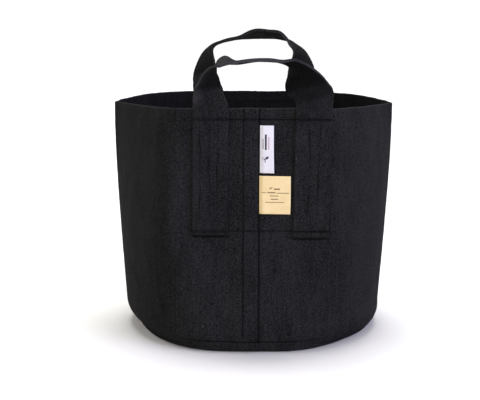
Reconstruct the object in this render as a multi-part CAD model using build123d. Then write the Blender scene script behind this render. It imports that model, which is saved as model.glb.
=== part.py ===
from build123d import *
import math
import os

# Fabric grow bag of thick felt, in millimetres. It stands open on z = 0, its front towards -Y,
# with the origin at the middle of its footprint box. The wall is one felt sheet whose ends lap
# at the front, the base is a felt disc with its edge turned up outside the wall, and each handle
# is a doubled felt strap whose two legs are sewn flat on the wall.

FELT = 3.0  # thickness of the wall and base felt
STRAP = 5.0  # a handle strap is two layers of thinner felt
THREAD = 0.9  # thickness of the sewing thread as it lies on the felt
RIM_Z = 311.0  # height of the open bag

# The wall in plan: flat across the front and the back, curved to a fold corner at each side.
RIM_HALF_WIDTH = 190.0
WIDTH_TAPER = 15.6  # how much narrower each side gets towards the floor
TAPER_POWER = 1.84
FRONT_RIM_Y = -145.0
FRONT_FOOT_Y = -186.0
BACK_RIM_Y = 179.0
BACK_FOOT_Y = 164.0
CORNER_RIM_Y = -13.0
CORNER_FOOT_Y = 6.0
FLAT_HALF = 99.0  # half of the flat stretch that the handle legs are sewn on
FLAT_HALF_FOOT = 33.0
FLAT_ENDS_Z = 140.0  # the flat stretches keep their width down to here
FRONT_POWER = 1.3  # how sharply the front turns away beside its flat stretch
BACK_POWER = 1.75
ROUND_Z = 36.0  # height of the rolled lower edge
SIDE_ROLL = 29.0  # how far the wall tucks under at the sides, the front and the back
FRONT_ROLL = 13.0
BACK_ROLL = 20.0
CORNER_STEPS = 6

# Lap seam and base
LAP_LEFT_X = -20.0
LAP_EDGE_X = 5.5
LAP_STITCH_X = -14.0
LIP_Z = 13.0
LIP_STITCH_Z = 8.0

# Handles
STRAP_WIDTH = 46.0
FRONT_LEG_X = (-56.0, 76.0)
BACK_LEG_X = (-67.0, 75.0)
FRONT_LEG_FEET = (151.0, 148.0)
BACK_LEG_FEET = (150.0, 150.0)
TOP_ROW_Z = 297.5
BOTTOM_ROW_Z = 156.0
HINGE_Z = 323.0  # where a loop bends over, just above the rim
WEDGE = 11.0  # length over which the strap thins towards the bend line
WEDGE_TIP = 0.6
HINGE_GAP = 0.4
ARCH_POWER = 2.8  # 2 is a half ellipse, more is a flatter top
ARCH_ANGLES = (0.15, 5, 13, 24, 37, 53, 71, 90)
FRONT_LOOP = {"height": 70.0, "lean": 40.0, "twist": 50.0}
BACK_LOOP = {"height": 77.0, "lean": 6.45, "twist": 78.0}

# Labels, sewn in at the raw edge of the lap
LABEL_THICKNESS = 0.6
LABEL_OFFSET = 3.8  # from the wall to the bend line of both labels
LABEL_X = LAP_EDGE_X + 1.0
WOVEN_LABEL = {"width": 18.0, "bottom": 230.0, "top": 290.7}
SIZE_TAG = {"width": 40.5, "bottom": 178.2, "top": 226.8}

# Stitches
STITCH_LENGTH = 4.0
STITCH_PITCH = 6.0

WALL_LEVELS = (FELT, LIP_Z / 2, LIP_Z, 20.0, 27.0, ROUND_Z, 60.0, 100.0, FLAT_ENDS_Z, RIM_Z)


def blend(low, high, amount):
    return low + (high - low) * amount


def rolled(z, reach):
    """How far the rolled lower edge pulls the wall in at height z."""
    if z >= ROUND_Z:
        return 0.0
    rise = (ROUND_Z - z) / ROUND_Z
    return reach * (1 - math.sqrt(1 - min(rise, 1.0) ** 2))


def front_y(z):
    return blend(FRONT_FOOT_Y, FRONT_RIM_Y, z / RIM_Z) + rolled(z, FRONT_ROLL)


def back_y(z):
    return blend(BACK_FOOT_Y, BACK_RIM_Y, z / RIM_Z) - rolled(z, BACK_ROLL)


def corner_x(z):
    return RIM_HALF_WIDTH - WIDTH_TAPER * (1 - z / RIM_Z) ** TAPER_POWER - rolled(z, SIDE_ROLL)


def flat_half(z):
    return blend(FLAT_HALF_FOOT, FLAT_HALF, min(1.0, z / FLAT_ENDS_Z))


def quarter(z, side, grow):
    """Points from the end of a flat stretch to the fold corner, for positive x."""
    fall = 1 - z / RIM_Z
    wall_y = front_y(z) - grow if side < 0 else back_y(z) + grow
    power = blend(FRONT_POWER if side < 0 else BACK_POWER, 2.0, fall)
    corner_y = blend(CORNER_RIM_Y, CORNER_FOOT_Y, fall)
    start = flat_half(z)
    reach = corner_x(z) + grow - start
    points = []
    for step in range(CORNER_STEPS + 1):
        along = math.sin(math.radians(90 * step / CORNER_STEPS))
        depth = (1 - along ** power) ** (1 / (1 + fall)) if step < CORNER_STEPS else 0.0
        points.append((start + reach * along, corner_y + (wall_y - corner_y) * depth))
    return points


def outline(z, grow=0.0, at=None):
    """Closed plan outline of the wall's outer face at height z, grown outwards."""
    height = z if at is None else at
    front = [Vector(x, y, height) for x, y in quarter(z, -1, grow)]
    back = [Vector(x, y, height) for x, y in quarter(z, 1, grow)]
    front_left = [Vector(-p.X, p.Y, height) for p in front]
    back_left = [Vector(-p.X, p.Y, height) for p in back]
    edges = [
        Edge.make_line(front_left[0], front[0]),
        Edge.make_spline(front),
        Edge.make_spline(back[::-1]),
        Edge.make_line(back[0], back_left[0]),
        Edge.make_spline(back_left),
        Edge.make_spline(front_left[::-1]),
    ]
    return Wire(edges)


def side_strip(side, x_from, x_to, profile):
    """A block along X whose YZ section is given as (offset outwards, z) on the flat wall."""
    face_y = front_y if side < 0 else back_y
    corners = [Vector(x_from, face_y(min(z, RIM_Z)) + side * off, z) for off, z in profile]
    section = Face(Wire.make_polygon(corners, close=True))
    return Solid.extrude(section, Vector(x_to - x_from, 0, 0))


def wall_panel():
    outer = Solid.make_loft([outline(z) for z in WALL_LEVELS], ruled=True)
    inner_wires = [outline(FELT, -FELT, at=-1.0)]
    inner_wires += [outline(z, -FELT) for z in WALL_LEVELS]
    inner_wires += [outline(RIM_Z, -FELT, at=RIM_Z + 5)]
    shell = outer - Solid.make_loft(inner_wires, ruled=True)
    levels = [z for z in WALL_LEVELS if z >= LIP_Z]
    near = [(0.0, z) for z in levels]
    far = [(FELT, z) for z in reversed(levels)]
    return shell + side_strip(-1, LAP_LEFT_X, LAP_EDGE_X, near + far)


def base_panel():
    levels = [z for z in WALL_LEVELS if z <= LIP_Z]
    whole = Solid.make_loft([outline(z, FELT) for z in [0.0] + levels], ruled=True)
    recess_wires = [outline(z) for z in levels] + [outline(LIP_Z, at=LIP_Z + 5)]
    return whole - Solid.make_loft(recess_wires, ruled=True)


def hinge_y(side):
    face_y = front_y if side < 0 else back_y
    slope = (face_y(RIM_Z) - face_y(FLAT_ENDS_Z)) / (RIM_Z - FLAT_ENDS_Z)
    return face_y(RIM_Z) + side * STRAP / 2 + slope * (HINGE_Z - RIM_Z)


def handle_leg(side, centre_x, foot_z):
    """A strap leg: flat on the wall, thinned above the rim to the line it bends along."""
    face_y = front_y if side < 0 else back_y
    tip_offset = side * (hinge_y(side) - face_y(RIM_Z))
    profile = [
        (0.0, foot_z),
        (0.0, RIM_Z),
        (tip_offset - WEDGE_TIP / 2, HINGE_Z - HINGE_GAP),
        (tip_offset + WEDGE_TIP / 2, HINGE_Z - HINGE_GAP),
        (STRAP, RIM_Z),
        (STRAP, foot_z),
    ]
    return side_strip(side, centre_x - STRAP_WIDTH / 2, centre_x + STRAP_WIDTH / 2, profile)


def arch_point(angle, span, height):
    """A point of the loop's centre line in its own plane, for an angle of 0 to 180 degrees."""
    turn = math.radians(angle)
    across = math.copysign(abs(math.cos(turn)) ** (2 / ARCH_POWER), math.cos(turn))
    return Vector(-span * across, height * math.sin(turn) ** (2 / ARCH_POWER))


def handle_loop(side, legs_x, shape):
    """The free part of a handle: it leans outwards and twists until its top lies flat."""
    span = (legs_x[1] - legs_x[0]) / 2
    lean = math.radians(shape["lean"])
    up = Vector(0, side * math.sin(lean), math.cos(lean))
    out = Vector(0, side * math.cos(lean), -math.sin(lean))
    start = Vector((legs_x[0] + legs_x[1]) / 2, hinge_y(side), HINGE_Z)
    angles = list(ARCH_ANGLES) + [180 - a for a in reversed(ARCH_ANGLES[:-1])]
    wires = []
    for angle in angles:
        here = arch_point(angle, span, shape["height"])
        ahead = arch_point(angle + 0.1, span, shape["height"])
        behind = arch_point(angle - 0.1, span, shape["height"])
        along = (ahead - behind).normalized()
        turned = here.Y / shape["height"]
        twist = math.radians(shape["twist"]) * turned * turned * (3 - 2 * turned)
        outwards = Vector(1, 0, 0) * -along.Y + up * along.X
        width_way = outwards * math.cos(twist) + out * math.sin(twist)
        travel = Vector(1, 0, 0) * along.X + up * along.Y
        thick_way = travel.cross(width_way)
        rise = max(here.Y, HINGE_GAP)
        thickness = min(STRAP, blend(WEDGE_TIP, STRAP, rise / WEDGE))
        centre = start + Vector(here.X, 0, 0) + up * rise
        w = width_way * (STRAP_WIDTH / 2)
        t = thick_way * (thickness / 2)
        wires.append(Wire.make_polygon([centre - w - t, centre + w - t, centre + w + t, centre - w + t]))
    return Solid.make_loft(wires, ruled=True)


def flap(shape):
    """A label that hangs out of the lap seam, parallel to the front wall."""
    near = LABEL_OFFSET - LABEL_THICKNESS / 2
    far = LABEL_OFFSET + LABEL_THICKNESS / 2
    profile = [(near, shape["bottom"]), (near, shape["top"]), (far, shape["top"]), (far, shape["bottom"])]
    return side_strip(-1, LABEL_X, LABEL_X + shape["width"], profile)


def wall_slope(side):
    """Angle about X that turns an upright stitch parallel to the leaning wall."""
    face_y = front_y if side < 0 else back_y
    return -math.degrees(math.atan2(face_y(RIM_Z) - face_y(FLAT_ENDS_Z), RIM_Z - FLAT_ENDS_Z))


def places(first, last):
    """Centres of the stitches of a row, evenly spaced."""
    count = max(2, round(abs(last - first) / STITCH_PITCH) + 1)
    return [blend(first, last, i / (count - 1)) for i in range(count)]


def stitch_row(side, z, legs_x):
    """Stitches across both legs of a handle and the wall between them, half sunk in the felt."""
    face_y = front_y if side < 0 else back_y
    half = STRAP_WIDTH / 2
    stitches = []
    for x in places(legs_x[0] - half + STITCH_LENGTH, legs_x[1] + half - STITCH_LENGTH):
        on_leg = min(abs(x - legs_x[0]), abs(x - legs_x[1])) < half + STITCH_LENGTH / 2
        on_lap = side < 0 and LAP_LEFT_X < x < LAP_EDGE_X
        offset = STRAP if on_leg else FELT if on_lap else 0.0
        place = Pos(x, face_y(z) + side * offset, z) * Rot(X=wall_slope(side))
        stitches.append(place * Box(STITCH_LENGTH, THREAD, THREAD))
    return Compound(children=stitches)


def lap_seam_stitches():
    turn = Rot(X=wall_slope(-1))
    column = places(LIP_Z + 12.0, TOP_ROW_Z - STITCH_PITCH)
    upright = Box(THREAD, THREAD, STITCH_LENGTH)
    return Compound(children=[Pos(LAP_STITCH_X, front_y(z) - FELT, z) * turn * upright for z in column])


def lap_bartack():
    """Two short rows that close the lap just above the base lip."""
    turn = Rot(X=wall_slope(-1))
    dash = Box(STITCH_LENGTH, THREAD, THREAD)
    dashes = []
    for z in (LIP_Z + 4.0, LIP_Z + 7.0):
        for x in places(LAP_STITCH_X + STITCH_PITCH, LAP_EDGE_X - STITCH_LENGTH):
            dashes.append(Pos(x, front_y(z) - FELT, z) * turn * dash)
    return Compound(children=dashes)


def base_seam_stitches():
    """The seam that holds the turned-up base to the wall, all the way round."""
    line = outline(LIP_STITCH_Z, FELT)
    count = round(line.length / STITCH_PITCH)
    stitches = []
    for i in range(count):
        here = line.position_at(i / count)
        along = line.tangent_at(i / count)
        turn = math.degrees(math.atan2(along.Y, along.X))
        stitches.append(Pos(here.X, here.Y, here.Z) * Rot(Z=turn) * Box(STITCH_LENGTH, THREAD, THREAD))
    return Compound(children=stitches)


nodes = {
    "wall_panel": wall_panel(),
    "base_panel": base_panel(),
    "front_left_leg": handle_leg(-1, FRONT_LEG_X[0], FRONT_LEG_FEET[0]),
    "front_right_leg": handle_leg(-1, FRONT_LEG_X[1], FRONT_LEG_FEET[1]),
    "back_left_leg": handle_leg(1, BACK_LEG_X[0], BACK_LEG_FEET[0]),
    "back_right_leg": handle_leg(1, BACK_LEG_X[1], BACK_LEG_FEET[1]),
    "front_loop": handle_loop(-1, FRONT_LEG_X, FRONT_LOOP),
    "back_loop": handle_loop(1, BACK_LEG_X, BACK_LOOP),
    "woven_label": flap(WOVEN_LABEL),
    "size_tag": flap(SIZE_TAG),
    "lap_seam_stitches": lap_seam_stitches(),
    "lap_bartack": lap_bartack(),
    "base_seam_stitches": base_seam_stitches(),
    "front_handle_top_stitches": stitch_row(-1, TOP_ROW_Z, FRONT_LEG_X),
    "front_handle_bottom_stitches": stitch_row(-1, BOTTOM_ROW_Z, FRONT_LEG_X),
    "back_handle_top_stitches": stitch_row(1, TOP_ROW_Z, BACK_LEG_X),
    "back_handle_bottom_stitches": stitch_row(1, BOTTOM_ROW_Z, BACK_LEG_X),
}

os.makedirs("parts", exist_ok=True)
for name, shape in nodes.items():
    export_step(shape, f"parts/{name}.step")
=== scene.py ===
import math

import bpy
import numpy as np
from mathutils import Matrix, Vector


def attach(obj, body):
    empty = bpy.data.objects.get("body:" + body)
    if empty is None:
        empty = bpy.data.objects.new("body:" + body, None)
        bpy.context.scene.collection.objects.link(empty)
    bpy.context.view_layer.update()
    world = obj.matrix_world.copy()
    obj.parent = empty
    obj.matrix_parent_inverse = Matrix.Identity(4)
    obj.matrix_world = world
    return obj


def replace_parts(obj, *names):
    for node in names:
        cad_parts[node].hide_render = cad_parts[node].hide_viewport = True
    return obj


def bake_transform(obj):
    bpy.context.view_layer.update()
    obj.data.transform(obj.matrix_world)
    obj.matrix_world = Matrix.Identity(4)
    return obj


# Fabric grow bag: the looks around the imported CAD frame. Shapes below are worked out in
# millimetres, in the CAD's own frame, and turned into metres when a mesh is made.

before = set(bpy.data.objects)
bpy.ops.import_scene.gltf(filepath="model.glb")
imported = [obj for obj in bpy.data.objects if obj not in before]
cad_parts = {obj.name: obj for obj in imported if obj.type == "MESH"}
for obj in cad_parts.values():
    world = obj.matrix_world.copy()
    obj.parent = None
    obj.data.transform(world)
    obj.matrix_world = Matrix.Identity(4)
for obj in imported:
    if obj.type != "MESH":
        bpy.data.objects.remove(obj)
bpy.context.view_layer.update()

MM = 0.001

# ---- dimensions, as in the CAD
FELT = 3.0
STRAP = 5.0
RIM_Z = 311.0
RIM_HALF_WIDTH = 190.0
WIDTH_TAPER = 15.6
TAPER_POWER = 1.84
FRONT_RIM_Y = -145.0
FRONT_FOOT_Y = -186.0
BACK_RIM_Y = 179.0
BACK_FOOT_Y = 164.0
CORNER_RIM_Y = -13.0
CORNER_FOOT_Y = 6.0
FLAT_HALF = 99.0
FLAT_HALF_FOOT = 33.0
FLAT_ENDS_Z = 140.0
FRONT_POWER = 1.3
BACK_POWER = 1.75
ROUND_Z = 36.0
SIDE_ROLL = 29.0
FRONT_ROLL = 13.0
BACK_ROLL = 20.0
LAP_EDGE_X = 5.5
LAP_STITCH_X = -14.0
LIP_Z = 13.0
TOP_ROW_Z = 297.5
BOTTOM_ROW_Z = 156.0
STITCH_LENGTH = 4.0
STITCH_PITCH = 6.0
FRONT_LEAN = (FRONT_RIM_Y - FRONT_FOOT_Y) / RIM_Z
BACK_LEAN = (BACK_RIM_Y - BACK_FOOT_Y) / RIM_Z
LAP_RISE = 3.25  # how far the lap stands out over its own beginning
NEAR = 25.0  # the columns near the middle of the front and back are placed by distance up to here


# ---- small maths
def lerp(low, high, amount):
    return low + (high - low) * amount


def smooth(low, high, value):
    """0 before low, 1 after high, and an easy curve between."""
    t = np.clip((np.asarray(value, float) - low) / (high - low), 0.0, 1.0)
    return t * t * (3 - 2 * t)


def bump(value, centre, width):
    """A soft ridge, 1 at the centre."""
    return np.exp(-(((np.asarray(value, float) - centre) / width) ** 2))


def waves(seed, shortest, longest, count=26, stretch=(1.0, 1.0, 1.0)):
    """A smooth random field over points in space, about -1 to 1, the same every run."""
    rng = np.random.default_rng(seed)
    way = rng.normal(size=(count, 3))
    way /= np.linalg.norm(way, axis=1)[:, None]
    length = np.exp(rng.uniform(math.log(shortest), math.log(longest), count))
    k = way * (2 * math.pi / length)[:, None] * np.array(stretch)
    phase = rng.uniform(0, 2 * math.pi, count)

    def field(points):
        total = np.zeros(np.asarray(points).shape[:-1])
        for kk, ph in zip(k, phase):
            total += np.sin(points @ kk + ph)
        return total * math.sqrt(1.0 / count)

    return field


def spline(points, count):
    """A natural cubic curve through the points, spaced by their chord lengths, as count points
    evenly spaced along that measure."""
    p = np.asarray(points, float)
    step = np.linalg.norm(np.diff(p.reshape(len(p), -1), axis=0), axis=1)
    t = np.concatenate([[0], np.cumsum(step)])
    n = len(p)
    h = np.diff(t)
    a = np.zeros((n, n))
    b = np.zeros((n,) + p.shape[1:])
    a[0, 0] = a[-1, -1] = 1
    for i in range(1, n - 1):
        a[i, i - 1] = h[i - 1]
        a[i, i] = 2 * (h[i - 1] + h[i])
        a[i, i + 1] = h[i]
        b[i] = 6 * ((p[i + 1] - p[i]) / h[i] - (p[i] - p[i - 1]) / h[i - 1])
    m = np.linalg.solve(a, b.reshape(n, -1)).reshape(b.shape)
    out = []
    for w in np.linspace(0, t[-1], count):
        i = int(min(max(np.searchsorted(t, w) - 1, 0), n - 2))
        l, r = t[i + 1] - w, w - t[i]
        out.append(
            m[i] * l ** 3 / (6 * h[i])
            + m[i + 1] * r ** 3 / (6 * h[i])
            + (p[i] / h[i] - m[i] * h[i] / 6) * l
            + (p[i + 1] / h[i] - m[i + 1] * h[i] / 6) * r
        )
    return np.array(out)


# ---- the wall's surface
def rolled(z, reach):
    rise = np.clip((ROUND_Z - z) / ROUND_Z, 0.0, 1.0)
    return reach * (1 - np.sqrt(1 - rise ** 2))


def front_y(z):
    return lerp(FRONT_FOOT_Y, FRONT_RIM_Y, z / RIM_Z) + rolled(z, FRONT_ROLL)


def back_y(z):
    return lerp(BACK_FOOT_Y, BACK_RIM_Y, z / RIM_Z) - rolled(z, BACK_ROLL)


def corner_x(z):
    fall = max(0.0, 1 - z / RIM_Z)
    return RIM_HALF_WIDTH - WIDTH_TAPER * fall ** TAPER_POWER - rolled(z, SIDE_ROLL)


def quarter(z, side, steps):
    """From the middle of the front or back to the fold corner, for positive x."""
    fall = max(0.0, 1 - z / RIM_Z)
    wall_y = front_y(z) if side < 0 else back_y(z)
    power = lerp(FRONT_POWER if side < 0 else BACK_POWER, 2.0, fall)
    corner_y = lerp(CORNER_RIM_Y, CORNER_FOOT_Y, fall)
    start = lerp(FLAT_HALF_FOOT, FLAT_HALF, min(1.0, z / FLAT_ENDS_Z))
    reach = corner_x(z) - start
    t = np.linspace(0, math.pi / 2, steps)
    s = np.sin(t)
    s[-1] = 1.0
    x = start + reach * s
    y = corner_y + (wall_y - corner_y) * np.clip(1 - s ** power, 0, 1) ** (1 / (1 + fall))
    flat = np.linspace(0, start, 40)[:-1]
    return np.concatenate([np.stack([flat, np.full_like(flat, wall_y)], 1), np.stack([x, y], 1)])


def half_outline(z):
    """The right half of the outer face in plan, front middle to back middle, one point a millimetre,
    with the fold corner softened as thick felt does. Also its outward normals and the corner's place."""
    front = quarter(z, -1, 240)
    back = quarter(z, 1, 240)[::-1]
    line = np.concatenate([front, back[1:]])
    s = np.concatenate([[0], np.cumsum(np.linalg.norm(np.diff(line, axis=0), axis=1))])
    corner = s[len(front) - 1]
    count = int(round(s[-1]))
    even = np.linspace(0, s[-1], count + 1)
    x = np.interp(even, s, line[:, 0])
    y = np.interp(even, s, line[:, 1])
    reach = 14
    kernel = np.exp(-(np.arange(-reach, reach + 1) / 2.6) ** 2 / 2)
    kernel /= kernel.sum()
    wide_x = np.concatenate([-x[reach:0:-1], x, -x[-2 : -reach - 2 : -1]])
    wide_y = np.concatenate([y[reach:0:-1], y, y[-2 : -reach - 2 : -1]])
    x = np.convolve(wide_x, kernel, "valid")
    y = np.convolve(wide_y, kernel, "valid")
    x = x + lerp(0.6, 2.6, float(smooth(60, RIM_Z, z))) * np.exp(-(((even - corner) / 7.0) ** 2))
    dx, dy = np.gradient(x), np.gradient(y)
    size = np.hypot(dx, dy)
    return even, x, y, dy / size, -dx / size, corner


OUTLINES = {}


def around(z, columns):
    """Plan positions and outward normals of columns at height z. A column is (side, part, where):
    side 1 or -1 for right or left, part 'front' or 'back' with where the distance from the middle
    up to NEAR, or 'front_turn' / 'back_turn' with where running 0 to 1 out to the fold corner."""
    key = round(float(z), 3)
    if key not in OUTLINES:
        OUTLINES[key] = half_outline(float(z))
    s, x, y, nx, ny, corner = OUTLINES[key]
    end = s[-1]
    place = []
    for side, part, where in columns:
        if part == "front":
            place.append(where)
        elif part == "back":
            place.append(end - where)
        elif part == "front_turn":
            place.append(NEAR + where * (corner - NEAR))
        else:
            place.append(end - NEAR - where * (end - NEAR - corner))
    place = np.array(place)
    sign = np.array([c[0] for c in columns], float)
    px = sign * np.interp(place, s, x)
    py = np.interp(place, s, y)
    qx = sign * np.interp(place, s, nx)
    qy = np.interp(place, s, ny)
    size = np.hypot(qx, qy)
    return px, py, qx / size, qy / size


big_dents = waves(11, 110, 260, stretch=(1.0, 1.0, 0.45))
soft_dents = waves(23, 34, 80, stretch=(1.0, 1.0, 0.5))
small_dents = waves(37, 9, 22, stretch=(1.0, 1.0, 0.8))


def relief(x, y, z):
    """How far the felt stands out from the plain wall at a place on it, in millimetres."""
    x, y, z = np.broadcast_arrays(np.asarray(x, float), np.asarray(y, float), np.asarray(z, float))
    points = np.stack([x, y, z], -1)
    calm = 1 - 0.85 * smooth(120, 185, np.abs(x))
    out = 1.1 * big_dents(points) * smooth(8, 70, z) * calm
    out += 0.42 * soft_dents(points) * smooth(4, 40, z) * calm
    out += 0.10 * small_dents(points)
    front = (y < -100).astype(float)
    back = (y > 100).astype(float)
    across_front = smooth(-84, -78, x) * (1 - smooth(97, 103, x)) * front
    across_back = smooth(-94, -89, x) * (1 - smooth(97, 103, x)) * back
    for row in (TOP_ROW_Z, BOTTOM_ROW_Z):
        out -= 1.0 * bump(z, row, 1.3) * (across_front + across_back)
    return out


def wall_shade(x, y, z, lapped):
    """Painted shade on the wall: darker down in the stitch lines and the lap seam, above the base's lip,
    along the lap's raw edge, under the straps' cut ends, beside the left leg, and a little on the turning
    sides.
    """
    front = (y < -100).astype(float)
    across = smooth(-84, -78, x) * (1 - smooth(97, 103, x))
    dark = 0.0
    # painted shade down in the stitch rows and the lap's stitch line
    for row, deep in ((TOP_ROW_Z, 1.0), (BOTTOM_ROW_Z, 0.6)):
        dark = dark + deep * bump(z, row, 1.0) * across * (np.abs(y) > 100)
    dark = dark + lapped * bump(x, LAP_STITCH_X, 1.0) * smooth(16, 24, z)
    # painted shadow along the top of the base's lip
    dark = dark + bump(z, 14.3, 0.8) * front * (1 - smooth(78, 104, np.abs(x + 4)))
    # painted shadow under the legs' cut bottom ends
    for foot_z, left, right in ((149.3, -79, -33), (146.3, 49, 96)):
        under_leg = smooth(left - 1, left + 1, x) * (1 - smooth(right - 1, right + 1, x))
        dark = dark + bump(z, foot_z, 1.2) * front * under_leg
    # painted shadow along the left leg's right edge
    dark = dark + 0.6 * bump(x, -33.0, 0.9) * front * smooth(150, 153, z)
    # painted shade on the sides, 28% on the left and 15% on the right, where less light falls; not a colour
    # of the felt
    turning = 0.28 * smooth(92, 122, -x) + 0.15 * smooth(102, 130, x)
    # painted shadow along the lap's raw edge and on the edge itself
    dark = dark + bump(x, LAP_EDGE_X + 0.9, 1.3) * front * (1 - lapped)
    dark = dark + 0.6 * lapped * smooth(LAP_EDGE_X - 0.5, LAP_EDGE_X, x)
    return -np.clip(0.85 * dark + turning, 0, 1)


def settled(x, y, z):
    """How far the lower edge has sunk inwards where the filled bag once stood: more on the right."""
    low = 1 - smooth(6, 36, z)
    pressed = 5.0 * bump(x, 105.0, 48.0) * (1 - smooth(-70, -20, y)) + 4.6 * bump(x, -150.0, 26.0)
    return low * pressed - 4.6 * bump(z, 8.0, 12.0) * smooth(120, 165, x)


# ---- meshes
def make_object(name, points, faces, material, smooth_shading=True, shade=None):
    """shade is one number a point, read by the felt and painted into its colour: above 0 a painted
    highlight on cut edges, partly their paler fibre ends and partly light they catch, and below 0 painted
    shade down in stitch lines and furrows and on other shaded parts."""
    mesh = bpy.data.meshes.new(name)
    mesh.from_pydata([tuple(p) for p in np.asarray(points, float) * MM], [], faces)
    if shade is not None:
        values = mesh.attributes.new("shade", "FLOAT", "POINT")
        values.data.foreach_set("value", np.asarray(shade, float).ravel())
    mesh.validate()
    mesh.update()
    obj = bpy.data.objects.new(name, mesh)
    bpy.context.scene.collection.objects.link(obj)
    if smooth_shading:
        mesh.polygons.foreach_set("use_smooth", [True] * len(mesh.polygons))
    obj.data.materials.append(material)
    return obj


def loft(name, rings, material, shade=None):
    """A closed skin over rings of points, each ring one closed section. In each ring, point i and
    the one as far from its end face each other across the thickness, which is how the caps are laid."""
    rings = np.asarray(rings, float)
    n, m = rings.shape[:2]
    faces = []
    for i in range(n - 1):
        a, b = i * m, (i + 1) * m
        for j in range(m):
            k = (j + 1) % m
            faces.append((a + j, a + k, b + k, b + j))
    last = (n - 1) * m
    for j in range(m // 2 - 1):
        faces.append((m - 1 - j, m - 2 - j, j + 1, j))
        faces.append((last + j, last + j + 1, last + m - 2 - j, last + m - 1 - j))
    return make_object(name, rings.reshape(-1, 3), faces, material, shade=shade)


# ---- materials
class Nodes:
    """Short names for the few shader nodes the materials are made of."""

    def __init__(self, name):
        self.material = bpy.data.materials.new(name)
        self.material.use_nodes = True
        self.tree = self.material.node_tree
        self.tree.nodes.clear()
        self.out = self.tree.nodes.new("ShaderNodeOutputMaterial")
        self.shader = self.tree.nodes.new("ShaderNodeBsdfPrincipled")
        self.tree.links.new(self.shader.outputs[0], self.out.inputs["Surface"])
        self.place = self.tree.nodes.new("ShaderNodeTexCoord").outputs["Object"]

    def link(self, source, target):
        if isinstance(source, bpy.types.NodeSocket):
            self.tree.links.new(source, target)
        else:
            target.default_value = source

    def link_colour(self, source, target):
        self.link(source if isinstance(source, bpy.types.NodeSocket) else (*source, 1), target)

    def mapped(self, scale=(1, 1, 1), turn=(0, 0, 0), vector=None):
        node = self.tree.nodes.new("ShaderNodeMapping")
        node.inputs["Scale"].default_value = scale
        node.inputs["Rotation"].default_value = [math.radians(a) for a in turn]
        self.link(vector or self.place, node.inputs["Vector"])
        return node.outputs[0]

    def noise(self, scale, vector=None, detail=2.0, rough=0.5, warp=0.0):
        node = self.tree.nodes.new("ShaderNodeTexNoise")
        node.inputs["Scale"].default_value = scale
        node.inputs["Detail"].default_value = detail
        node.inputs["Roughness"].default_value = rough
        node.inputs["Distortion"].default_value = warp
        self.link(vector or self.place, node.inputs["Vector"])
        return node.outputs["Fac"]

    def remap(self, value, low, high, to_low=0.0, to_high=1.0):
        node = self.tree.nodes.new("ShaderNodeMapRange")
        for socket, number in zip(node.inputs[1:5], (low, high, to_low, to_high)):
            socket.default_value = number
        self.link(value, node.inputs[0])
        return node.outputs[0]

    def maths(self, kind, a, b=0.0):
        node = self.tree.nodes.new("ShaderNodeMath")
        node.operation = kind
        self.link(a, node.inputs[0])
        self.link(b, node.inputs[1])
        return node.outputs[0]

    def colour(self, factor, first, second):
        node = self.tree.nodes.new("ShaderNodeMix")
        node.data_type = "RGBA"
        self.link(factor, node.inputs["Factor"])
        self.link_colour(first, node.inputs["A"])
        self.link_colour(second, node.inputs["B"])
        return node.outputs["Result"]

    def raise_surface(self, height, distance, strength=1.0, normal=None):
        node = self.tree.nodes.new("ShaderNodeBump")
        node.inputs["Strength"].default_value = strength
        node.inputs["Distance"].default_value = distance
        self.link(height, node.inputs["Height"])
        if normal is not None:
            self.link(normal, node.inputs["Normal"])
        return node.outputs[0]

    def finish(self, colour, rough, normal=None, **more):
        self.link_colour(colour, self.shader.inputs["Base Color"])
        self.link(rough, self.shader.inputs["Roughness"])
        if normal is not None:
            self.link(normal, self.shader.inputs["Normal"])
        for name, value in more.items():
            self.shader.inputs[name.replace("_", " ")].default_value = value
        return self.material


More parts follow.
